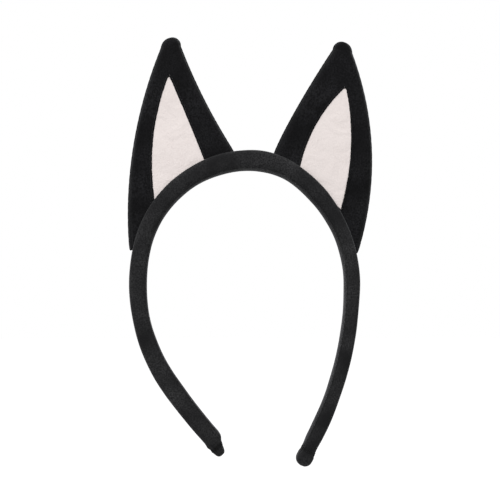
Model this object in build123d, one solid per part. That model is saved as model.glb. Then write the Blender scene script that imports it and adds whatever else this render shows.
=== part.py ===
from build123d import *
import math
import os

# Animal ears headband, as worn: crown up (+Z), front toward -Y, millimetres.
# The origin is on the underside of the crown, where the hoop rests on the head.
# Plans are drawn flat (X across, Y up) and then stood up, so that a plan's
# height becomes Z and its "forward" distance runs toward -Y, the front.

# ---- driving dimensions -------------------------------------------------

# The hoop's middle line: tangent arcs from the crown's top down each leg.
# (radius, sweep in degrees); the two legs of this soft hoop differ.
LEFT_ARCS = [(58.8, 77.4), (90.5, 47.1), (280.0, 8.2)]
RIGHT_ARCS = [(41.1, 35.7), (71.5, 55.0), (174.4, 29.0)]

BAND_THICKNESS = 8.8          # sleeve, head side to outer side
BAND_DEPTH = 13.0             # sleeve, front to back
BAND_CORNER = 2.0             # rounding along the sleeve's four edges
VELOUR = 0.8                  # thickness of the pile fabric
CLEARANCE = 0.1               # between pieces that lie on each other
THREAD_CLEARANCE = 0.05       # between a thread and the fabric it lies on

STRIP_THICKNESS = 1.8         # moulded plastic strip inside the hoop
STRIP_DEPTH = 9.6
LINER_THICKNESS = 1.3         # thin foam between the strip and the head side
STRIP_END_MARGIN = 1.0        # strip and padding stop short of the closure

END_CLOSURE = 1.5             # fabric folded across each end of the sleeve
NECK_RADIUS = 2.9             # sleeve drawn in by its binding
NECK_LENGTH = 1.8
KNOB_RADIUS = 4.6             # gathered fabric beyond the binding
BINDING_RADIUS = 0.4          # thread wound round the neck

SEAM_THREAD_RADIUS = 0.3
SEAM_FORWARD = 4.0            # the sleeve's closing seam, toward the front

# Ears: where the two side edges would meet, where they come down to the
# hoop, and how far each side bows away from its straight line (out is +).
EAR_APEX = {"left": (-42.2, 77.1), "right": (50.1, 74.8)}
EAR_INNER_FOOT = {"left": (-8.2, 7.4), "right": (10.8, 6.8)}
EAR_OUTER_FOOT = {"left": (-65.4, -42.6), "right": (59.8, -43.4)}
EAR_INNER_BOW = {"left": -2.6, "right": -0.6}
EAR_OUTER_BOW = {"left": 7.6, "right": 10.5}
EAR_TIP_RADIUS = 4.2
EAR_CORNER_RADIUS = 2.0
EAR_THICKNESS = 7.6
EAR_GAP = 0.15                # between an ear's base and the sleeve

# The pale window in each ear's front, open down to the hoop.
WINDOW_APEX = {"left": (-43.9, 47.3), "right": (50.9, 41.5)}
WINDOW_INNER_FOOT = {"left": (-24.4, 3.5), "right": (24.8, -1.0)}
WINDOW_OUTER_FOOT = {"left": (-51.4, -18.0), "right": (50.6, -22.0)}
WINDOW_BOW = {"left": 1.2, "right": 1.4}
WINDOW_TIP_RADIUS = 1.5
INSET_LAP = 2.5               # how far the pale panel runs under the border
INSET_THICKNESS = 0.7

STITCH_RADIUS = 0.25
STITCH_LENGTH = 2.2
STITCH_PITCH = 4.0
STITCH_SETBACK = 1.0          # window stitches, outside the window's edge
WHIP_PITCH = 8.0
WHIP_REACH = 2.6              # whip stitch length from the sleeve up the ear

# ---- sizes that follow ----------------------------------------------------

HALF = BAND_THICKNESS / 2
CROWN_MIDDLE = (0.0, HALF)
SIDE_SIGN = {"left": -1, "right": 1}
ARCS = {"left": LEFT_ARCS, "right": RIGHT_ARCS}
CAVITY_THICKNESS = BAND_THICKNESS - 2 * VELOUR
CAVITY_DEPTH = BAND_DEPTH - 2 * VELOUR
CAVITY_CORNER = BAND_CORNER - VELOUR
PADDING_DEPTH = CAVITY_DEPTH - 2 * CLEARANCE
PADDING_CORNER = CAVITY_CORNER - CLEARANCE
LINER_BOTTOM = -CAVITY_THICKNESS / 2 + CLEARANCE
STRIP_BOTTOM = LINER_BOTTOM + LINER_THICKNESS + CLEARANCE
PAD_BOTTOM = STRIP_BOTTOM + STRIP_THICKNESS + CLEARANCE
PAD_TOP = CAVITY_THICKNESS / 2 - CLEARANCE
EAR_HALF = EAR_THICKNESS / 2
FIELD = 4000.0                # drawing area, larger than any plan
FIELD_MARGIN = 30.0           # room round a pointed plan
SMALLEST_FILLET = 0.3


# ---- the hoop's middle line -----------------------------------------------

def arc_stations(side, trim=0.0):
    """Centre, radius, first and last angle of each arc down one leg.

    Angles are measured from straight up, toward the leg's side. The last arc
    is shortened by trim millimetres.
    """
    sign = SIDE_SIGN[side]
    x, y = CROWN_MIDDLE
    angle = 0.0
    stations = []
    for number, (radius, sweep) in enumerate(ARCS[side]):
        if number == len(ARCS[side]) - 1:
            sweep = sweep - math.degrees(trim / radius)
        start = math.radians(angle)
        centre = (x - sign * radius * math.sin(start), y - radius * math.cos(start))
        angle = angle + sweep
        stations.append((centre, radius, start, math.radians(angle)))
        x, y = on_arc(side, centre, radius, math.radians(angle))
    return stations


def on_arc(side, centre, radius, angle):
    """Point of an arc at an angle from straight up."""
    return (
        centre[0] + SIDE_SIGN[side] * radius * math.sin(angle),
        centre[1] + radius * math.cos(angle),
    )


def leg_edges(side, away=0.0, trim=0.0):
    """One leg's line, moved away from the head by a distance."""
    edges = []
    for centre, radius, start, end in arc_stations(side, trim):
        reach = radius + away
        middle = (start + end) / 2
        first = on_arc(side, centre, reach, start)
        halfway = on_arc(side, centre, reach, middle)
        last = on_arc(side, centre, reach, end)
        edges.append(ThreePointArc(first, halfway, last))
    return edges


def hoop_length(side):
    return sum(radius * math.radians(sweep) for radius, sweep in ARCS[side])


def point_along(side, length, away=0.0):
    """Point and outward direction at a length down one leg from the crown."""
    for centre, radius, start, end in arc_stations(side):
        span = radius * (end - start)
        if length <= span or end == arc_stations(side)[-1][3]:
            angle = start + length / radius
            outward = (SIDE_SIGN[side] * math.sin(angle), math.cos(angle))
            return on_arc(side, centre, radius + away, angle), outward
        length = length - span


def slab(plan, back, front):
    """A plan made solid between two forward distances."""
    return Pos(0, 0, back) * extrude(plan, amount=front - back, dir=(0, 0, 1))


def swept_along_hoop(section_maker, trim=0.0):
    """A section carried down both legs; the legs meet at the crown's top."""
    legs = []
    for side in SIDE_SIGN:
        for centre, radius, start, end in arc_stations(side, trim):
            origin = on_arc(side, centre, radius, start)
            outward = (SIDE_SIGN[side] * math.sin(start), math.cos(start), 0)
            along = (SIDE_SIGN[side] * math.cos(start), -math.sin(start), 0)
            plane = Plane(origin=(origin[0], origin[1], 0), x_dir=outward, z_dir=along)
            axis = Axis((centre[0], centre[1], 0), (0, 0, -SIDE_SIGN[side]))
            section = plane * section_maker()
            legs.append(revolve(section, axis, math.degrees(end - start)))
    return legs[0].fuse(*legs[1:])


# ---- hoop sections ----------------------------------------------------------

def band_section():
    """Sleeve outline, filled: X is away from the head, Y is front to back."""
    return RectangleRounded(BAND_THICKNESS, BAND_DEPTH, BAND_CORNER)


def sleeve_section():
    cavity = RectangleRounded(CAVITY_THICKNESS, CAVITY_DEPTH, CAVITY_CORNER)
    return band_section() - cavity


def strip_section():
    middle = STRIP_BOTTOM + STRIP_THICKNESS / 2
    return Pos(middle, 0) * RectangleRounded(STRIP_THICKNESS, STRIP_DEPTH, STRIP_THICKNESS / 3)


def rounded_side(bottom, top, rounded_top):
    """A padding section with its sleeve-side corners rounded."""
    section = Pos((bottom + top) / 2, 0) * Rectangle(top - bottom, PADDING_DEPTH)
    corners = section.vertices().sort_by(Axis.X)
    chosen = corners[-2:] if rounded_top else corners[:2]
    return fillet(chosen, min(PADDING_CORNER, 0.9 * (top - bottom)))


def liner_section():
    return rounded_side(LINER_BOTTOM, LINER_BOTTOM + LINER_THICKNESS, False)


def pad_section():
    return rounded_side(PAD_BOTTOM, PAD_TOP, True)


# ---- hoop pieces --------------------------------------------------------------

def end_plane(side):
    """Plane across the end of a leg, facing out of the tube."""
    (x, y), outward = point_along(side, hoop_length(side))
    sign = SIDE_SIGN[side]
    along = (sign * outward[1], -sign * outward[0], 0)
    return Plane(origin=(x, y, 0), x_dir=(outward[0], outward[1], 0), z_dir=along)


def gathered_end(side):
    """Folded fabric across the tube's end, the drawn-in neck and its knob."""
    closure = extrude(end_plane(side) * band_section(), amount=END_CLOSURE)
    neck_top = END_CLOSURE + NECK_LENGTH
    knob_middle = neck_top + math.sqrt(KNOB_RADIUS ** 2 - NECK_RADIUS ** 2)
    neck = extrude(end_plane(side) * Circle(NECK_RADIUS), amount=knob_middle)
    knob = end_plane(side) * Pos(0, 0, knob_middle) * Sphere(KNOB_RADIUS)
    return closure.fuse(neck, knob)


def band_sleeve():
    tube = swept_along_hoop(sleeve_section)
    return tube.fuse(gathered_end("left"), gathered_end("right"))


def end_binding(side):
    """Thread wound round the neck, as one ring."""
    ring = Torus(NECK_RADIUS + THREAD_CLEARANCE + BINDING_RADIUS, BINDING_RADIUS)
    return end_plane(side) * Pos(0, 0, END_CLOSURE + NECK_LENGTH / 2) * ring


def sleeve_seam_thread():
    """The closing seam of the sleeve, along the head side near the front."""
    away = -(HALF + THREAD_CLEARANCE + SEAM_THREAD_RADIUS)
    return swept_along_hoop(lambda: Pos(away, 0) * seam_circle())


def seam_circle():
    return Pos(0, SEAM_FORWARD) * Circle(SEAM_THREAD_RADIUS)


# ---- ear plans -----------------------------------------------------------------

def hoop_area(away):
    """Everything inside the hoop's outline, moved out by a distance."""
    left = leg_edges("left", HALF + away)
    right = leg_edges("right", HALF + away)
    left_end = left[-1] @ 1
    right_end = right[-1] @ 1
    return make_face([*left, *right, Line(left_end, right_end)])


def within_side(start, end, bow, toward_left, drawn_in):
    """The area on the ear's side of one bowed edge, drawn in by a distance.

    The edge runs from start to end, bowed away from the ear where bow is
    positive; toward_left says that the ear lies left of that direction.
    """
    sagitta = -bow if toward_left else bow
    edge = SagittaArc(start, end, sagitta)
    centre = Pos(edge.arc_center.X, edge.arc_center.Y)
    if bow > 0:
        return centre * Circle(edge.radius - drawn_in)
    everything = Rectangle(FIELD, FIELD)
    return everything - centre * Circle(edge.radius + drawn_in)


def pointed_area(side, apex, inner_foot, outer_foot, bows, tip_radius, drawn_in):
    """A two-sided point standing on the hoop, with its root inside the hoop."""
    on_left = side == "left"
    inner = within_side(inner_foot, apex, bows[0], on_left, drawn_in)
    outer = within_side(apex, outer_foot, bows[1], on_left, drawn_in)
    width = abs(inner_foot[0] - outer_foot[0]) + FIELD_MARGIN
    height = apex[1] - outer_foot[1] + FIELD_MARGIN
    middle = (inner_foot[0] + outer_foot[0]) / 2
    floor = outer_foot[1] + drawn_in
    field = Pos(middle, floor + height / 2) * Rectangle(width, height)
    plan = largest(field & inner & outer)
    tip = plan.vertices().sort_by_distance(Vector(*apex))[0]
    return fillet(tip, max(tip_radius - drawn_in, SMALLEST_FILLET))


def ear_plan(side, drawn_in=0.0):
    """Ear outline: the bowed point, less the hoop it stands on.

    A positive drawn_in draws the whole outline in; a negative one lets the
    sides out and leaves the base where it is.
    """
    whole = pointed_area(
        side, EAR_APEX[side], EAR_INNER_FOOT[side], EAR_OUTER_FOOT[side],
        (EAR_INNER_BOW[side], EAR_OUTER_BOW[side]), EAR_TIP_RADIUS, drawn_in,
    )
    plan = largest(whole - hoop_area(EAR_GAP + max(drawn_in, 0)))
    corner = plan.vertices().sort_by_distance(Vector(*EAR_OUTER_FOOT[side]))[0]
    return largest(fillet(corner, EAR_CORNER_RADIUS - drawn_in))


def window_area(side, let_out=0.0):
    """The window's point, with its root still inside the hoop."""
    return pointed_area(
        side, WINDOW_APEX[side], WINDOW_INNER_FOOT[side], WINDOW_OUTER_FOOT[side],
        (WINDOW_BOW[side], WINDOW_BOW[side]), WINDOW_TIP_RADIUS, -let_out,
    )


def largest(plan):
    """The biggest face of a cut plan."""
    return plan.faces().sort_by(SortBy.AREA)[-1]


# ---- ear pieces --------------------------------------------------------------------

def ear_foam(side):
    inside = ear_plan(side, VELOUR + CLEARANCE)
    back = -(EAR_HALF - VELOUR - CLEARANCE)
    front = inset_back() - CLEARANCE
    return slab(inside, back, front)


def inset_front():
    return EAR_HALF - VELOUR - THREAD_CLEARANCE


def inset_back():
    return inset_front() - INSET_THICKNESS


def ear_inset(side):
    """The pale panel, lapped under the black border."""
    inside = ear_plan(side, VELOUR + CLEARANCE)
    lapped = window_area(side, INSET_LAP)
    return slab(largest(inside & lapped), inset_back(), inset_front())


def tray(side, sheet_at, rim_at):
    """A fabric sheet with its edge turned in to the ear's middle seam."""
    plan = ear_plan(side)
    inside = ear_plan(side, VELOUR)
    low = min(sheet_at, rim_at)
    high = max(sheet_at, rim_at)
    block = slab(plan, low, high)
    if sheet_at > rim_at:
        return block - slab(inside, low, high - VELOUR)
    return block - slab(inside, low + VELOUR, high)


def ear_back(side):
    return tray(side, -EAR_HALF, -CLEARANCE / 2)


def ear_front(side):
    border = tray(side, EAR_HALF, CLEARANCE / 2)
    window = window_area(side) - hoop_area(EAR_GAP + VELOUR)
    return border - slab(window, EAR_HALF - 2 * VELOUR, EAR_HALF + VELOUR)


def ear_edge_seam(side):
    """The ridge where front and back are sewn together, round both sides."""
    outer = ear_plan(side, -(THREAD_CLEARANCE + 2 * SEAM_THREAD_RADIUS))
    inner = ear_plan(side, -THREAD_CLEARANCE)
    ridge = outer - inner
    return slab(largest(ridge), -SEAM_THREAD_RADIUS, SEAM_THREAD_RADIUS)


def stitch(point, direction, forward, length):
    """One thread stitch lying flat, centred at a plan point."""
    plane = Plane(origin=Vector(*point) + Vector(0, 0, forward), z_dir=Vector(*direction))
    return plane * Cylinder(STITCH_RADIUS, length)


def window_stitching(side):
    """Stitches along the window's two sides, on the border's face."""
    forward = EAR_HALF + THREAD_CLEARANCE + STITCH_RADIUS
    line = window_area(side, STITCH_SETBACK)
    keep_out = hoop_area(EAR_GAP + STITCH_LENGTH)
    stitches = []
    outline = line.faces()[0].outer_wire()
    count = int(outline.length / STITCH_PITCH)
    for number in range(count):
        share = (number + 0.5) / count
        point = outline @ share
        direction = outline % share
        if keep_out.faces()[0].is_inside(point):
            continue
        stitches.append(stitch(point, direction, forward, STITCH_LENGTH))
    return Compound(stitches)


def base_length_range(side):
    """Lengths down the leg between which the ear's base runs."""
    plan = ear_plan(side)
    reach = HALF + EAR_GAP
    touching = []
    step = 1.0
    for number in range(int(hoop_length(side) / step)):
        point, outward = point_along(side, number * step, reach + WHIP_REACH)
        if plan.faces()[0].is_inside(Vector(*point)):
            touching.append(number * step)
    return touching[0], touching[-1]


def base_stitches(side):
    """Whip stitches from the sleeve up the ear's front and back faces."""
    first, last = base_length_range(side)
    away = HALF + THREAD_CLEARANCE + WHIP_REACH / 2
    forward = EAR_HALF + THREAD_CLEARANCE + STITCH_RADIUS
    count = int((last - first) / WHIP_PITCH)
    stitches = []
    for number in range(count + 1):
        length = first + (last - first) * number / count
        point, outward = point_along(side, length, away)
        for face in (forward, -forward):
            stitches.append(stitch(point, outward, face, WHIP_REACH))
    return Compound(stitches)


# ---- write every piece ------------------------------------------------------------

def write(name, shape):
    """Stand a piece up, its plan height to +Z and its forward side to -Y."""
    solids = [Plane.XZ * solid for solid in shape.solids()]
    piece = solids[0] if len(solids) == 1 else Compound(solids)
    export_step(piece, "parts/" + name + ".step")


os.makedirs("parts", exist_ok=True)
write("hoop_strip", swept_along_hoop(strip_section, STRIP_END_MARGIN))
write("hoop_outer_pad", swept_along_hoop(pad_section, STRIP_END_MARGIN))
write("hoop_head_liner", swept_along_hoop(liner_section, STRIP_END_MARGIN))
write("band_sleeve", band_sleeve())
write("sleeve_seam_thread", sleeve_seam_thread())
for side in SIDE_SIGN:
    write(side + "_end_binding", end_binding(side))
    write(side + "_ear_foam", ear_foam(side))
    write(side + "_ear_back", ear_back(side))
    write(side + "_ear_front", ear_front(side))
    write(side + "_ear_inset", ear_inset(side))
    write(side + "_ear_edge_seam", ear_edge_seam(side))
    write(side + "_ear_window_stitching", window_stitching(side))
    write(side + "_ear_base_stitches", base_stitches(side))
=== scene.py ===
# %% [markdown]
# # Animal ears headband
# The headband is a springy hoop padded with foam and covered with a velour tube. Two pointed,
# padded ears stand on it, each with a pale panel in its front. The construction model comes in
# first as a fixed frame, and every soft piece below is modelled round it. Sizes are written in
# millimetres, and each piece is turned to metres as it is made.

# %% Load the frame
import math
import bmesh
import bpy
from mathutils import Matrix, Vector, noise


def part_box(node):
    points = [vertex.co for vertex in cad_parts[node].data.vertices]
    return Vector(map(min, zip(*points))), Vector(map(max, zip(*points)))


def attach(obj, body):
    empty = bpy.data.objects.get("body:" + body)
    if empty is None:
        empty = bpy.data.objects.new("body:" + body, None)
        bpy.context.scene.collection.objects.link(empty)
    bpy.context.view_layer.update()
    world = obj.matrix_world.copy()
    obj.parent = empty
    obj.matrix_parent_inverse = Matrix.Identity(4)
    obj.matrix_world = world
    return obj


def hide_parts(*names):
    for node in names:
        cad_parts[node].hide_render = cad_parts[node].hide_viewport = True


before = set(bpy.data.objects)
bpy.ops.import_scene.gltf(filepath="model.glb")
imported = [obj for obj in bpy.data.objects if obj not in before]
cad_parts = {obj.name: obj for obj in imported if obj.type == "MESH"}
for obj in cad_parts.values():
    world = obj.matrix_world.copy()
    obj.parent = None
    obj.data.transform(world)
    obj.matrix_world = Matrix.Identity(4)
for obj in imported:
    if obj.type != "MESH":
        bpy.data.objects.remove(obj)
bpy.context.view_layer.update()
MM = 0.001
print("nodes:", len(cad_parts))

# %% [markdown]
# ## The hoop's line
# A soft hoop is never quite even, so each leg has its own three tangent arcs, given as a radius
# and a sweep. Walking along the arcs gives a place and the direction away from the head, and
# every piece of the band is laid out along that walk.

# %% Walk along the hoop
ARCS = {
    "left": [(58.8, 77.4), (90.5, 47.1), (280.0, 8.2)],
    "right": [(41.1, 35.7), (71.5, 55.0), (174.4, 29.0)],
}
SIGN = {"left": -1, "right": 1}
lowest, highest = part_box("band_sleeve")
CROWN_HEIGHT = highest[2] / MM / 2            # the hoop's middle line is half a thickness down
BAND_DEPTH = (highest[1] - lowest[1]) / MM    # front to back
ARRIVED = 1e-9                                # a walk with less than this left has ended
LEG_LENGTH = {
    side: sum(radius * math.radians(sweep) for radius, sweep in arcs)
    for side, arcs in ARCS.items()
}


def along_hoop(side, length):
    """Place, outward direction and downhill direction at a length down one leg, in mm."""
    sign = SIGN[side]
    place = Vector((0, 0, CROWN_HEIGHT))
    angle = 0.0
    for radius, sweep in ARCS[side]:
        turn = math.radians(sweep)
        run = min(length, radius * turn)
        outward = Vector((sign * math.sin(angle), 0, math.cos(angle)))
        centre = place - outward * radius
        angle += run / radius
        outward = Vector((sign * math.sin(angle), 0, math.cos(angle)))
        downhill = Vector((sign * math.cos(angle), 0, -math.sin(angle)))
        place = centre + outward * radius
        length -= run
        if length <= ARRIVED:
            break
    return place + downhill * max(length, 0), outward, downhill


print("crown height and band depth, mm:", round(CROWN_HEIGHT, 2), round(BAND_DEPTH, 2))
print("leg lengths, mm:", {side: round(length, 1) for side, length in LEG_LENGTH.items()})

# %% [markdown]
# ## Rolling a grid
# A padded tube is easiest to make from a flat grid: one side of the grid runs along the tube and
# the other runs round it. Each point is moved to its place, the two long edges meet, and merging
# the doubled points closes the tube.

# %% A grid moved into shape
MERGE_WITHIN = 0.005          # mm; wide enough to close a tube's pointed ends
DISSOLVE_WITHIN = 0.001
END_SHARPNESS = 40            # how late a thin tube starts to close at its ends


def smooth_step(low, high, value):
    """0 up to low, 1 from high on, and an even rise between them."""
    share = min(max((value - low) / (high - low), 0.0), 1.0)
    return share * share * (3 - 2 * share)


def rounded_ends(along):
    """1 along a thin tube, falling to 0 at its two ends."""
    return math.sqrt(max(1 - (2 * along - 1) ** END_SHARPNESS, 0.0))


def shaped_grid(name, rows, columns, place, closed=True):
    """A grid whose points go to place(share along, share across), given in mm."""
    mesh = bmesh.new()
    bmesh.ops.create_grid(mesh, x_segments=rows, y_segments=columns, size=0.5)
    for vert in mesh.verts:
        vert.co = place(vert.co.x + 0.5, vert.co.y + 0.5) * MM
    if closed:
        bmesh.ops.remove_doubles(mesh, verts=mesh.verts[:], dist=MERGE_WITHIN * MM)
        bmesh.ops.dissolve_degenerate(mesh, edges=mesh.edges[:], dist=DISSOLVE_WITHIN * MM)
    bmesh.ops.recalc_face_normals(mesh, faces=mesh.faces[:])
    data = bpy.data.meshes.new(name)
    mesh.to_mesh(data)
    mesh.free()
    data.shade_smooth()
    piece = bpy.data.objects.new(name, data)
    bpy.context.scene.collection.objects.link(piece)
    print(name, "faces:", len(data.polygons))
    return piece


# %% [markdown]
# ## Materials
# Velour is a knitted fabric with a short dense pile. The pile swallows light that comes straight
# at it and glows a little where it is seen edge on, which the sheen of the shader gives. Where
# fingers have brushed it, the pile lies over and looks lighter in soft patches.

# %% Helpers for colour and nodes
def colour(hex_code):
    """sRGB hex turned to the linear colour that shaders use."""
    channels = [int(hex_code[i:i + 2], 16) / 255 for i in (0, 2, 4)]
    return [c / 12.92 if c <= 0.04045 else ((c + 0.055) / 1.055) ** 2.4 for c in channels] + [1]


def add_node(tree, kind, settings=None, **links):
    """Adds one node, sets its sockets and properties, and links the named inputs."""
    node = tree.nodes.new(kind)
    for key, value in (settings or {}).items():
        if key in node.inputs:
            node.inputs[key].default_value = value
        else:
            setattr(node, key, value)
    for key, source in links.items():
        tree.links.new(source, node.inputs[key.replace("_", " ")])
    return node


def new_material(name, roughness, **sockets):
    """A material with its tree, shader and object coordinates."""
    material = bpy.data.materials.new(name)
    material.use_nodes = True
    shader = material.node_tree.nodes["Principled BSDF"]
    shader.inputs["Roughness"].default_value = roughness
    for key, value in sockets.items():
        shader.inputs[key.replace("_", " ")].default_value = value
    place = add_node(material.node_tree, "ShaderNodeTexCoord").outputs["Object"]
    return material, material.node_tree, shader, place


def per_metre(size_mm):
    """Noise scale whose features are about size_mm across."""
    return 1 / (size_mm * MM)


# %% [markdown]
# ## Three finishes
# Knitted velour covers everything that shows. It could be grown as hair, but pile this short
# reads as a matte surface with a fine grain, so noise in colour and bump is enough and stays
# quick. The thread and the strip are plain polyester and polypropylene.

# %% Velour, polyester thread and moulded plastic
BRUSHED_PATCH = 15.0          # mm across a patch where the pile lies over
CREASE_SPACING = 10.0         # mm between soft creases in the cloth
PILE_GRAIN = 0.9              # real pile is finer; it is drawn coarser so that it shows
PILE_SPECKLE = 0.8            # light and dark tufts, also drawn coarser than they are
THREAD_TWIST = 0.4            # two plies, drawn coarser than sewing thread
MOULD_RIPPLE = 4.0            # faint unevenness of a moulded skin


def velour(name, shade, brushed, sheen, tint):
    """Knitted pile fabric: matte, with brushed patches and a fine grain of pile."""
    material, tree, shader, place = new_material(
        name, 1.0, Sheen_Weight=sheen, Sheen_Roughness=0.35,
        Sheen_Tint=colour(tint), Specular_IOR_Level=0.1,
    )
    patches = add_node(
        tree, "ShaderNodeTexNoise", {"Scale": per_metre(BRUSHED_PATCH), "Detail": 4.0}, Vector=place,
    )
    grain = add_node(
        tree, "ShaderNodeTexNoise", {"Scale": per_metre(PILE_GRAIN), "Detail": 4.0}, Vector=place,
    )
    spread = add_node(
        tree, "ShaderNodeMapRange", {"From Min": 0.3, "From Max": 0.75},
        Value=patches.outputs["Fac"],
    )
    pile = add_node(
        tree, "ShaderNodeTexNoise", {"Scale": per_metre(PILE_SPECKLE), "Detail": 2.0}, Vector=place,
    )
    speckle = add_node(
        tree, "ShaderNodeMapRange", {"From Min": 0.35, "From Max": 0.65},
        Value=pile.outputs["Fac"],
    )
    average = add_node(tree, "ShaderNodeMath", {"operation": "MULTIPLY"})
    tree.links.new(spread.outputs["Result"], average.inputs[0])
    tree.links.new(speckle.outputs["Result"], average.inputs[1])
    mixed = add_node(
        tree, "ShaderNodeMix", {"data_type": "RGBA"}, Factor=average.outputs[0],
    )
    mixed.inputs[6].default_value = colour(shade)
    mixed.inputs[7].default_value = colour(brushed)
    tree.links.new(mixed.outputs[2], shader.inputs["Base Color"])
    creases = add_node(
        tree, "ShaderNodeTexNoise",
        {"Scale": per_metre(CREASE_SPACING), "Detail": 2.0, "Distortion": 0.8}, Vector=place,
    )
    soft = add_node(
        tree, "ShaderNodeBump", {"Strength": 0.6, "Distance": 1.0 * MM},
        Height=creases.outputs["Fac"],
    )
    bump = add_node(
        tree, "ShaderNodeBump", {"Strength": 0.6, "Distance": 0.3 * MM},
        Height=grain.outputs["Fac"], Normal=soft.outputs["Normal"],
    )
    tree.links.new(bump.outputs["Normal"], shader.inputs["Normal"])
    return material


def spun_thread():
    """Polyester sewing thread: two plies twisted, faintly silky."""
    material, tree, shader, place = new_material(
        "polyester thread, spun black", 0.85, Specular_IOR_Level=0.2,
    )
    shader.inputs["Base Color"].default_value = colour("131314")
    twist = add_node(
        tree, "ShaderNodeTexNoise", {"Scale": per_metre(THREAD_TWIST), "Detail": 1.0}, Vector=place,
    )
    bump = add_node(
        tree, "ShaderNodeBump", {"Strength": 0.4, "Distance": 0.1 * MM},
        Height=twist.outputs["Fac"],
    )
    tree.links.new(bump.outputs["Normal"], shader.inputs["Normal"])
    return material


def moulded_strip():
    """Polypropylene strip, injection moulded: smooth with a satin skin."""
    material, tree, shader, place = new_material("polypropylene, moulded black", 0.4)
    shader.inputs["Base Color"].default_value = colour("1a1a1b")
    ripple = add_node(
        tree, "ShaderNodeTexNoise", {"Scale": per_metre(MOULD_RIPPLE), "Detail": 1.0}, Vector=place,
    )
    bump = add_node(
        tree, "ShaderNodeBump", {"Strength": 0.05, "Distance": 0.05 * MM},
        Height=ripple.outputs["Fac"],
    )
    tree.links.new(bump.outputs["Normal"], shader.inputs["Normal"])
    return material


# The band and the ears are one black velour. The band's copy is lighter, which is painted light, and
# the ears' copy is darker, which is painted shade; the difference stands for how light falls on the
# curved band and the flat pads.
BAND_VELOUR_PAINTED_LIGHTER = velour("velour, black pile of the band, lightened as painted light", "1b1b1c", "3c3c3d", 0.2, "c4c4c8")
BLACK_VELOUR_PAINTED_SHADE = velour("velour, black pile darkened as painted shade", "0d0d0e", "252527", 0.16, "c4c4c8")
# The seam's copy of the black velour is lighter still, a painted highlight on its rolled edge.
SEAM_VELOUR_PAINTED_HIGHLIGHT = velour("velour, folded edge of black pile", "222223", "404041", 0.5, "d8d8dc")
PALE_VELOUR = velour("velour, knitted pale pile", "e9e0dd", "e2d8d5", 0.1, "ffffff")
THREAD = spun_thread()
PLASTIC = moulded_strip()
print("materials:", len(bpy.data.materials))


def finish_piece(piece, material, *nodes):
    """Gives a piece its material and has it stand for frame nodes on the one body."""
    piece.data.materials.append(material)
    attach(piece, "root")
    if nodes:
        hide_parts(*nodes)


# %% [markdown]
# ## The band
# The velour tube is pulled over strip and foam, so its section is a soft rounded rectangle. It is
# fullest at the crown and low on the left leg, and at each end the fabric is drawn into a neck
# and ends in a small gathered knob.

# %% The band's changing size
KNOB_LENGTH = {"left": 7.6, "right": 11.2}
DRAWN_FROM = {"left": -1.0, "right": -5.0}    # where the tube starts to narrow, from its end
NECK_AT = 2.4
FULLNESS = {"left": (10.8, 10.1, 9.4, 9.0, 10.2, 9.8), "right": (10.8, 9.6, 8.4, 7.8, 7.6, 7.9)}
SECTION_SQUARENESS = 3.2      # 2 is an ellipse; more is nearer a rectangle
SWELL_LENGTH = 3.0            # from the neck to the knob's full size
NECK_THICKNESS = {"left": 6.8, "right": 7.4}
KNOB_THICKNESS = {"left": 5.8, "right": 8.7}
NECK_DEPTH = 9.4
KNOB_DEPTH = 10.4
TIP_DRIFT = {"left": 1.9, "right": 0.7}       # how far the knob leans away from the head
DRIFT_FROM = -4.0
DRIFT_TO = 6.0
UNEVEN_SPACING = 14.0         # mm between swells of the hand-filled tube
UNEVEN_ROUND = 9.0            # spreads those swells round the tube
UNEVENNESS = 0.22
PLEATS = 11                   # folds of the gathered fabric round each neck
PLEAT_DEPTH = 0.28
PLEAT_REACH = 3.2
SLIM_UNDER = 6.0              # a thinner tube is less uneven
SMALLEST_REACH = 0.5


def band_size(side, length):
    """Thickness away from the head and depth front to back, in mm."""
    total = LEG_LENGTH[side]
    stops = FULLNESS[side]
    share = min(length / total, 1.0) * (len(stops) - 1)
    number = min(int(share), len(stops) - 2)
    blend = smooth_step(0, 1, share - number)
    thickness = stops[number] * (1 - blend) + stops[number + 1] * blend
    past = length - total
    necked = smooth_step(DRAWN_FROM[side], NECK_AT, past)
    swollen = smooth_step(NECK_AT, NECK_AT + SWELL_LENGTH, past)
    neck = NECK_THICKNESS[side]
    knob = KNOB_THICKNESS[side]
    end_thickness = neck * (1 - swollen) + knob * swollen
    end_depth = NECK_DEPTH * (1 - swollen) + KNOB_DEPTH * swollen
    thickness = thickness * (1 - necked) + end_thickness * necked
    depth = BAND_DEPTH * (1 - necked) + end_depth * necked
    dome = max((past - (KNOB_LENGTH[side] - knob / 2)) / (knob / 2), 0.0)
    closing = math.sqrt(max(1 - min(dome, 1.0) ** 2, 0.0))
    return thickness * closing, depth * closing


def squared(value):
    """Pushes a circle's sine or cosine out toward a rounded square."""
    return math.copysign(abs(value) ** (2 / SECTION_SQUARENESS), value)


def band_surface(side, length, angle, proud=0.0):
    """A point of the band's skin; angle 0 is away from the head, a quarter turn the front."""
    place, outward, downhill = along_hoop(side, length)
    thickness, depth = band_size(side, length)
    where = Vector((place.x, place.z, math.sin(angle) * UNEVEN_ROUND))
    softness = noise.noise(where / UNEVEN_SPACING) * UNEVENNESS
    past = length - LEG_LENGTH[side]
    gather = math.exp(-((past - NECK_AT) / PLEAT_REACH) ** 2) * PLEAT_DEPTH * math.cos(PLEATS * angle)
    slim = min(thickness / SLIM_UNDER, 1.0)
    reach = Vector((squared(math.cos(angle)) * thickness / 2, squared(math.sin(angle)) * depth / 2))
    swell = 1 + (softness + gather + proud) * slim / max(reach.length, SMALLEST_REACH)
    place = place + outward * TIP_DRIFT[side] * smooth_step(DRIFT_FROM, DRIFT_TO, past)
    return place + outward * reach.x * swell + Vector((0, -1, 0)) * reach.y * swell


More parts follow.
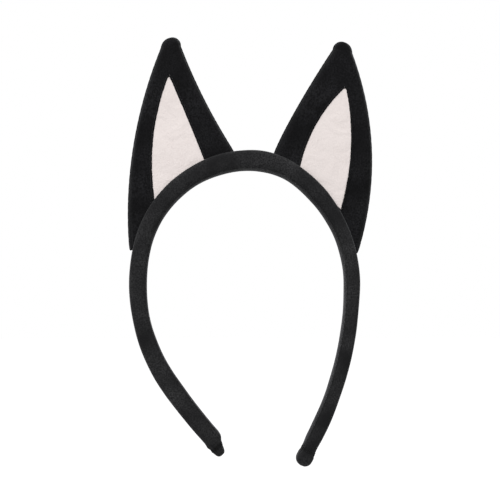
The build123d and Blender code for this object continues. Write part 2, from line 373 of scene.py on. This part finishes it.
# %% [markdown]
# ## The tube itself
# One grid runs from the left tip over the crown to the right tip, so the fabric has no break at
# the crown. Its two ends shrink to a point, and merging closes them.

# %% The velour tube
TOTAL = {side: LEG_LENGTH[side] + KNOB_LENGTH[side] for side in SIGN}


def tube_point(along, around):
    """From the left tip over the crown to the right tip."""
    run = along * (TOTAL["left"] + TOTAL["right"]) - TOTAL["left"]
    side = "left" if run < 0 else "right"
    return band_surface(side, abs(run), 2 * math.pi * around)


sleeve = shaped_grid("band_sleeve_velour", 900, 64, tube_point)
# The tube takes the lighter copy of the black velour, which is painted light.
finish_piece(sleeve, BAND_VELOUR_PAINTED_LIGHTER, "band_sleeve", "hoop_outer_pad", "hoop_head_liner")

# %% [markdown]
# ## Windings at the ends
# Each end of the tube is drawn in by a few turns of thread, which sit in the neck. Each winding
# follows the gathered fabric beneath it, so it is made from the same surface.

# %% Thread wound round each neck
TURNS = 3
TURN_SPACING = 0.55
WINDING_RADIUS = 0.25

for side in SIGN:
    def winding_point(along, around, side=side):
        """Round the neck TURNS times, moving toward the tip."""
        turn = 2 * math.pi * around
        wound = (along - 0.5) * TURNS
        length = LEG_LENGTH[side] + NECK_AT + wound * TURN_SPACING
        taper = rounded_ends(along)
        length += WINDING_RADIUS * math.cos(turn) * taper
        rise = WINDING_RADIUS * math.sin(turn) * taper
        return band_surface(side, length, 2 * math.pi * wound, rise)

    winding = shaped_grid(side + "_end_winding", 240, 8, winding_point)
    finish_piece(winding, THREAD, side + "_end_binding")

# %% [markdown]
# ## The tube's closing seam
# The tube is sewn shut along its length, and the seam lies on the head side near the front edge.
# Its rolled edge stands a little proud, and a lighter velour paints a highlight along it as a fine
# line.

# %% Seam along the head side
SEAM_ANGLE = math.radians(141)
SEAM_WIDTH = 1.1
SEAM_RISE = 0.45              # share of its width that the seam stands proud
SEAM_LEAN = math.radians(4.6)
SEAM_PITCH = 2.6              # mm from stitch to stitch
SEAM_PULL = 0.25              # how much each stitch draws the roll in


def seam_point(along, around):
    """Along the tube's head side, from the end of one leg to the end of the other."""
    run = along * (LEG_LENGTH["left"] + LEG_LENGTH["right"]) - LEG_LENGTH["left"]
    side = "left" if run < 0 else "right"
    turn = 2 * math.pi * around
    end = rounded_ends(along)
    pulled = 1 + SEAM_PULL * math.sin(abs(run) * 2 * math.pi / SEAM_PITCH)
    lean = SEAM_LEAN * math.cos(turn) * end
    rise = SEAM_WIDTH * SEAM_RISE * math.sin(turn) * end * pulled
    return band_surface(side, abs(run), SEAM_ANGLE + lean, rise)


seam = shaped_grid("band_closing_seam", 780, 10, seam_point)
# The seam's velour is lighter than the tube's, a painted highlight.
finish_piece(seam, SEAM_VELOUR_PAINTED_HIGHLIGHT, "sleeve_seam_thread")

# %% [markdown]
# ## The ears
# Each ear is a flat foam pad between two velour panels, sewn round the edge and turned out, so
# it has soft rounded sides and a blunt, rounded tip. A grid runs from base to tip and round
# the pad. Its foot follows the band and its sides follow two shallow arcs.

# %% Sizes of the ears
APEX = {"left": (-42.2, 77.1), "right": (50.1, 73.2)}
INNER_FOOT = {"left": (-8.2, 7.4), "right": (10.8, 6.8)}
OUTER_FOOT = {"left": (-64.5, -42.6), "right": (57.7, -43.4)}
INNER_BOW = {"left": -2.6, "right": 1.2}
OUTER_BOW = {"left": 7.6, "right": 10.5}
BASE_RUN = {"left": (8.5, 83.6), "right": (11.0, 78.6)}
CORNER_HANG = {"left": 1.5, "right": 0.6}
EAR_HALF = -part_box("left_ear_front")[0][1] / MM    # half the pad's thickness
EDGE_ROUNDING = 3.4
TIP_HALF_WIDTH = 4.9
OUTSIDE_REACH = {"inner": -50.0, "outer": 90.0}    # sideways to a point well outside an edge
OUTSIDE_RISE = 60.0
HALVINGS = 30                 # enough to find a width to far less than a thread


def flat(point):
    """A width and a height as a place in the ear's middle plane."""
    return Vector((point[0], 0, point[1]))


def bowed_edge(start, end, bow, outside, share):
    """A point on a shallow arc from start to end, bowed toward the outside."""
    middle = (start + end) / 2
    chord = end - start
    across = Vector((-chord.z, 0, chord.x)).normalized()
    if across.dot(outside - middle) < 0:
        across = -across
    return start + chord * share + across * bow * 4 * share * (1 - share)


def outside_of(side, foot, which):
    """A point well outside the inner or outer edge that stands on a foot."""
    return foot + Vector((SIGN[side] * OUTSIDE_REACH[which], 0, OUTSIDE_RISE))


def ear_sides(side, share):
    """The ear's inner and outer edge at a share of the way from base to apex."""
    inner_foot, outer_foot, apex = (flat(p[side]) for p in (INNER_FOOT, OUTER_FOOT, APEX))
    inner = bowed_edge(
        inner_foot, apex, INNER_BOW[side], outside_of(side, inner_foot, "inner"), share,
    )
    # Near the top both sides are read at the same height, which keeps the tip level.
    level = inner_foot.z + (apex.z - inner_foot.z) * share
    even = (level - outer_foot.z) / (apex.z - outer_foot.z)
    climb = share + (even - share) * share * share
    outer = bowed_edge(
        outer_foot, apex, OUTER_BOW[side], outside_of(side, outer_foot, "outer"), climb,
    )
    return inner, outer


def share_at_width(side, width):
    """How far up the ear its two sides are a given width apart."""
    low, high = 0.5, 1.0
    for _ in range(HALVINGS):
        middle = (low + high) / 2
        inner, outer = ear_sides(side, middle)
        if (inner - outer).length > width:
            low = middle
        else:
            high = middle
    return low


TIP_SHARE = {side: share_at_width(side, 2 * TIP_HALF_WIDTH) for side in SIGN}
KNOB_SHARE = 0.06             # share of the rows that round the tip
CORNER_SHARE = 0.016          # share of the rows that round the outer corner
CORNER_ROUNDING = 2.3
FOOT_SINK = 0.6               # sets the foot into the band; it goes deeper near the outer corner
HANG_FROM = 0.982             # share across the foot where the outer corner starts to hang
FOOT_FADE = 6                 # how fast the foot's curve dies away up the ear
PAD_SWELL_SPACING = 26.0
PAD_SWELL = 0.5
PAD_LAYER = 3.0               # which slice of the noise the pads use
print("share of the height where the tip begins:", TIP_SHARE)


def ear_row(side, along):
    """Both sides of the ear and its half thickness, at a share from base to tip."""
    body = min(along / (1 - KNOB_SHARE), 1.0)
    inner, outer = ear_sides(side, body * TIP_SHARE[side])
    half = EAR_HALF
    if along > 1 - KNOB_SHARE:
        turn = (along - 1 + KNOB_SHARE) / KNOB_SHARE * math.pi / 2
        centre = (inner + outer) / 2
        rise = (flat(APEX[side]) - centre).normalized()
        spread = (outer - inner) / 2 * math.cos(turn)
        lift = rise * TIP_HALF_WIDTH * math.sin(turn)
        return centre + lift - spread, centre + lift + spread, half * math.cos(turn) ** 0.5
    draw = (outer - inner).normalized()
    low = 1 - min(along / CORNER_SHARE, 1.0)
    cut = CORNER_ROUNDING * (1 - math.sqrt(1 - low * low))
    return inner, outer - draw * cut, half


def base_shift(side, across):
    """How far the ear's foot at a share across is from the straight line between its feet."""
    first, last = BASE_RUN[side]
    length = first + (last - first) * across
    place, outward, downhill = along_hoop(side, length)
    thickness = band_size(side, length)[0]
    hang = CORNER_HANG[side] * smooth_step(HANG_FROM, 1.0, across)
    on_band = place + outward * (thickness / 2 - FOOT_SINK + hang)
    inner, outer = ear_sides(side, 0)
    return on_band - (inner + (outer - inner) * across)


def puff(x, z):
    """Slow unevenness of a hand-filled pad, in mm."""
    return noise.noise(Vector((x, z, PAD_LAYER)) / PAD_SWELL_SPACING) * PAD_SWELL


def ear_surface(side, along, around):
    """A point on the pad's skin: two flat faces joined by rounded sides."""
    inner, outer, half = ear_row(side, along)
    width = (outer - inner).length
    rounding = min(EDGE_ROUNDING, width / 2)
    # Quarters 0 and 2 of the way round are the rounded sides; 1 and 3 are the flat faces.
    turn = around * 4
    quarter = int(turn) % 4
    part = turn - int(turn)
    if quarter in (0, 2):
        theta = (part - 0.5) * math.pi + quarter * math.pi / 2
        across = rounding * math.cos(theta)
        across += (width / 2 - rounding) * (1 if quarter == 0 else -1)
    else:
        theta = math.pi / 2 if quarter == 1 else -math.pi / 2
        across = (width / 2 - rounding) * (1 - 2 * part) * (1 if quarter == 1 else -1)
    share = across / width + 0.5 if width > 0 else 0.5
    foot = base_shift(side, share) * (1 - along) ** FOOT_FADE
    place = inner + (outer - inner) * share + foot
    filled = half + puff(place.x, place.z) * half / EAR_HALF
    place.y = -filled * math.sin(theta)
    return place


# %% [markdown]
# ## The two pads
# Each pad is one grid, rolled up. Rolling leaves its foot open, so the opening is filled with one
# face to make a closed body. That face is out of sight, where the pad is set into the band.

# %% The ear pads
for side in SIGN:
    pad = shaped_grid(
        side + "_ear_pad", 260, 128,
        lambda along, around, side=side: ear_surface(side, along, around),
    )
    open_rim = bmesh.new()
    open_rim.from_mesh(pad.data)
    rim = [edge for edge in open_rim.edges if edge.is_boundary]
    bmesh.ops.holes_fill(open_rim, edges=rim, sides=0)
    bmesh.ops.recalc_face_normals(open_rim, faces=open_rim.faces[:])
    open_rim.to_mesh(pad.data)
    open_rim.free()
    # The pads take the darker copy of the black velour, which is painted shade.
    finish_piece(pad, BLACK_VELOUR_PAINTED_SHADE, side + "_ear_front", side + "_ear_back", side + "_ear_foam")

# %% [markdown]
# ## Cords round the edges
# Where two panels are sewn and turned out, the seam shows as a narrow ridge. It is a thin tube
# laid along the pad's outline, pulled in a little at every stitch.

# %% A thin ridge along a line
RIDGE_PULL = 0.16             # how much each stitch draws a ridge in
PULL_SHARPNESS = 8            # higher makes each pull shorter
RIDGE_PITCH = 2.6
LOOK_AHEAD = 0.001            # share of a line used to find its direction


def ridge(name, line, radius, rows, pitch=RIDGE_PITCH):
    """A tube along line(share), in the ear's plane, with stitch pulls."""
    def place(along, around):
        here = line(along)
        ahead = line(min(along + LOOK_AHEAD, 1.0)) - line(max(along - LOOK_AHEAD, 0.0))
        across = Vector((-ahead.z, 0, ahead.x)).normalized()
        turn = 2 * math.pi * around
        end = rounded_ends(along)
        pulled = 1 - RIDGE_PULL * math.sin(along * rows / pitch) ** PULL_SHARPNESS
        reach = radius * end * pulled
        forward = Vector((0, -1, 0))
        return here + across * math.cos(turn) * reach + forward * math.sin(turn) * reach
    return shaped_grid(name, rows, 10, place)


def outline(side, share, grow):
    """Up the ear's outer side, round the tip and down its inner side."""
    along = 1 - abs(2 * share - 1)
    inner, outer, half = ear_row(side, along)
    across = 1.0 if share < 0.5 else 0.0
    place = outer if share < 0.5 else inner
    away = (outer - inner).normalized() * (grow if share < 0.5 else -grow)
    return place + away + base_shift(side, across) * (1 - along) ** FOOT_FADE


EDGE_STANDOFF = 0.1
EDGE_RADIUS = 0.42

for side in SIGN:
    edge = ridge(
        side + "_ear_edge_ridge",
        lambda share, side=side: outline(side, share, EDGE_STANDOFF), EDGE_RADIUS, 420,
    )
    finish_piece(edge, BLACK_VELOUR_PAINTED_SHADE, side + "_ear_edge_seam")

# %% [markdown]
# ## The pale panels
# The pale panel shows through a window in the ear's front. The border's raw edge is turned under
# and lies on the panel as a soft black roll, which hides where the panel ends. Down at the
# band, the panel runs on out of sight into it.

# %% Window lines
WINDOW_APEX = {"left": (-43.9, 49.8), "right": (50.7, 44.8)}
WINDOW_INNER = {"left": (-24.4, 3.5), "right": (24.8, -1.0)}
WINDOW_OUTER = {"left": (-51.4, -18.0), "right": (47.8, -22.0)}
WINDOW_BOW = {
    "left": {"inner": 0.4, "outer": 4.6},
    "right": {"inner": 4.2, "outer": 4.2},
}
PANEL_FORWARD = 3.85
PANEL_THICKNESS = 0.5
WINDOW_TOP = 0.975            # the sides stop short of meeting, which leaves a blunt top
TOP_SPREAD = 0.01             # share of the roll that crosses over the top
HEM_SHARE = 0.04              # share of the panel's width that dips at each side
HEM_DEPTH = 0.35
PANEL_SINK = 0.25
ROLL_RADIUS = 0.6
ROLL_STANDOFF = 0.12
WOBBLE = 0.18                 # unevenness of a hand-turned edge
WOBBLE_SPACING = 2.4
ROLL_LAYER = 9.0              # which slice of the noise the rolls use
print("window heights, mm:", {side: round(top[1], 1) for side, top in WINDOW_APEX.items()})


def window_side(side, share, which):
    """A point up the window's inner or outer edge."""
    foot = flat((WINDOW_INNER if which == "inner" else WINDOW_OUTER)[side])
    apex = flat(WINDOW_APEX[side])
    away = outside_of(side, foot, which)
    return bowed_edge(foot, apex, WINDOW_BOW[side][which], away, share * WINDOW_TOP)


def panel_point(side, along, across):
    """A point on the pale panel, which follows the pad's face and dips at its hems."""
    inner = window_side(side, along, "inner")
    outer = window_side(side, along, "outer")
    place = inner.lerp(outer, across)
    hem = smooth_step(0.0, HEM_SHARE, across) * smooth_step(0.0, HEM_SHARE, 1 - across)
    place.y = -(PANEL_FORWARD - PANEL_SINK + HEM_DEPTH * hem + puff(place.x, place.z))
    return place


# %% [markdown]
# ## Panel and roll together
# The panel is an open sheet, so a Solidify modifier gives it the cloth's thickness. The roll is
# laid over its edge, up one side and down the other, with the small wobble of hand work.

# %% Panels and their turned borders
for side in SIGN:
    panel = shaped_grid(
        side + "_ear_inset_panel", 160, 90,
        lambda along, across, side=side: panel_point(side, along, across), closed=False,
    )
    cloth = panel.modifiers.new("pile thickness", "SOLIDIFY")
    cloth.thickness = PANEL_THICKNESS * MM
    cloth.offset = 0
    finish_piece(panel, PALE_VELOUR, side + "_ear_inset")

    def border_line(share, side=side):
        """Up one side of the window, over its blunt top and down the other."""
        climb = 1 - abs(2 * share - 1)
        over = smooth_step(0.5 - TOP_SPREAD, 0.5 + TOP_SPREAD, share)
        place = window_side(side, climb, "inner").lerp(window_side(side, climb, "outer"), over)
        wobble = noise.noise(Vector((place.x, place.z, ROLL_LAYER)) / WOBBLE_SPACING) * WOBBLE
        place.x += wobble * SIGN[side]
        place.y = -(PANEL_FORWARD + ROLL_STANDOFF + puff(place.x, place.z))
        return place

    roll = ridge(side + "_window_turned_edge", border_line, ROLL_RADIUS, 460)
    finish_piece(roll, BLACK_VELOUR_PAINTED_SHADE, side + "_ear_window_stitching")

# %% [markdown]
# ## Thread at the foot of each ear
# The ears are sewn to the tube by hand with a ladder stitch, which sinks into the pile. What is
# left to see is a fine pulled line of thread in the angle between the ear's back and the band.

# %% Ladder stitch lines
LADDER_FROM = 0.04            # share of the ear's base where the stitching starts
LADDER_SPAN = 0.9
LADDER_STANDOFF = 0.35
LADDER_BEHIND = 0.25
LADDER_RADIUS = 0.4
LADDER_PITCH = 1.6

for side in SIGN:
    def foot_line(share, side=side):
        """Along the band's outer side, in the angle at the back of the ear."""
        first, last = BASE_RUN[side]
        length = first + (last - first) * (LADDER_FROM + LADDER_SPAN * share)
        place, outward, downhill = along_hoop(side, length)
        place = place + outward * (band_size(side, length)[0] / 2 + LADDER_STANDOFF)
        place.y = EAR_HALF + LADDER_BEHIND + puff(place.x, place.z)
        return place

    ladder = ridge(side + "_ear_foot_thread", foot_line, LADDER_RADIUS, 300, LADDER_PITCH)
    finish_piece(ladder, THREAD, side + "_ear_base_stitches")

# %% [markdown]
# ## Pieces kept from the frame
# The moulded strip inside the band already has its true shape, so it only gets its finish. The
# other nodes are hidden, because the pieces above replace them, and are given the velour.

# %% Finish the frame's own pieces
for name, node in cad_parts.items():
    finish = PLASTIC if name == "hoop_strip" else BLACK_VELOUR_PAINTED_SHADE
    for slot in node.material_slots:
        slot.material = finish
    if not node.material_slots:
        node.data.materials.append(finish)

# %% [markdown]
# ## Light, floor and camera
# A broad soft lamp above the front and an even sky light a matte fabric without hard shadows.
# The floor and sky are white where the camera sees them directly.

# %% Sky and floor
FLOOR_HEIGHT = -0.28          # metres; below the band's tips, as the headband hangs above it
FLOOR_REACH = 6
FLOOR_GREY = (0.9, 0.9, 0.9, 1)
FLOOR_GLOW = 1.2              # enough to stay white out to the horizon
FLOOR_GLOW_SHARE = 0.8        # the rest of the floor's light keeps a shadow on it
SKY_LEVEL = 0.46
WHITE = (1, 1, 1, 1)


def white_for_camera(tree):
    """1 where a ray comes straight from the camera, off glass or off gloss."""
    path = add_node(tree, "ShaderNodeLightPath")
    first = add_node(tree, "ShaderNodeMath", {"operation": "MAXIMUM"})
    tree.links.new(path.outputs["Is Camera Ray"], first.inputs[0])
    tree.links.new(path.outputs["Is Glossy Ray"], first.inputs[1])
    second = add_node(tree, "ShaderNodeMath", {"operation": "MAXIMUM"})
    tree.links.new(first.outputs[0], second.inputs[0])
    tree.links.new(path.outputs["Is Transmission Ray"], second.inputs[1])
    return second.outputs[0]


world = bpy.data.worlds.new("plain sky")
bpy.context.scene.world = world
world.use_nodes = True
sky = world.node_tree
level = add_node(
    sky, "ShaderNodeMapRange", {"To Min": SKY_LEVEL, "To Max": 1.0}, Value=white_for_camera(sky),
)
sky.links.new(level.outputs["Result"], sky.nodes["Background"].inputs["Strength"])
sky.nodes["Background"].inputs["Color"].default_value = WHITE

floor_mesh = bmesh.new()
bmesh.ops.create_grid(floor_mesh, x_segments=1, y_segments=1, size=FLOOR_REACH)
bmesh.ops.translate(floor_mesh, verts=floor_mesh.verts[:], vec=(0, 0, FLOOR_HEIGHT))
floor_data = bpy.data.meshes.new("floor")
floor_mesh.to_mesh(floor_data)
floor_mesh.free()
floor = bpy.data.objects.new("floor", floor_data)
bpy.context.scene.collection.objects.link(floor)
paint = bpy.data.materials.new("floor, matte white")
paint.use_nodes = True
tree = paint.node_tree
tree.nodes["Principled BSDF"].inputs["Base Color"].default_value = FLOOR_GREY
tree.nodes["Principled BSDF"].inputs["Roughness"].default_value = 1
glow = add_node(tree, "ShaderNodeEmission", {"Color": WHITE, "Strength": FLOOR_GLOW})
most = add_node(tree, "ShaderNodeMapRange", {"To Max": FLOOR_GLOW_SHARE}, Value=white_for_camera(tree))
mix = add_node(tree, "ShaderNodeMixShader")
tree.links.new(most.outputs["Result"], mix.inputs[0])
tree.links.new(tree.nodes["Principled BSDF"].outputs[0], mix.inputs[1])
tree.links.new(glow.outputs[0], mix.inputs[2])
tree.links.new(mix.outputs[0], tree.nodes["Material Output"].inputs["Surface"])
floor_data.materials.append(paint)

# %% [markdown]
# ## Lamps and camera
# A large area lamp stands in for a studio softbox, and a weaker one behind lifts the back. The
# camera looks from the front, a little to one side and from slightly below.

# %% Lamp and camera
AIM = Vector((-0.0006, 0, -0.0433))
DISTANCE = 0.56
AZIMUTH = math.radians(-4)
ELEVATION = math.radians(-3)
FRAME_WIDTH = 265.0           # mm seen across the view at the headband's distance
SENSOR = 36.0


def soft_lamp(name, place, size, watts):
    """A square lamp aimed at the middle of the headband."""
    lamp = bpy.data.lights.new(name, "AREA")
    lamp.size = size
    lamp.energy = watts
    holder = bpy.data.objects.new(name, lamp)
    holder.location = place
    holder.rotation_euler = (AIM - Vector(place)).to_track_quat("-Z", "Y").to_euler()
    bpy.context.scene.collection.objects.link(holder)


soft_lamp("overhead softbox", (-0.25, -0.45, 1.0), 0.7, 12.5)
soft_lamp("rear softbox", (0.3, 0.8, 0.8), 0.8, 4)

camera_data = bpy.data.cameras.new("camera")
camera_data.sensor_width = SENSOR
camera_data.lens = SENSOR * DISTANCE / (FRAME_WIDTH * MM)
camera = bpy.data.objects.new("camera", camera_data)
toward = Vector((
    math.sin(AZIMUTH) * math.cos(ELEVATION),
    -math.cos(AZIMUTH) * math.cos(ELEVATION),
    math.sin(ELEVATION),
))
camera.location = AIM + toward * DISTANCE
camera.rotation_euler = (-toward).to_track_quat("-Z", "Y").to_euler()
bpy.context.scene.collection.objects.link(camera)
bpy.context.scene.camera = camera
bpy.context.scene.view_settings.view_transform = "Standard"
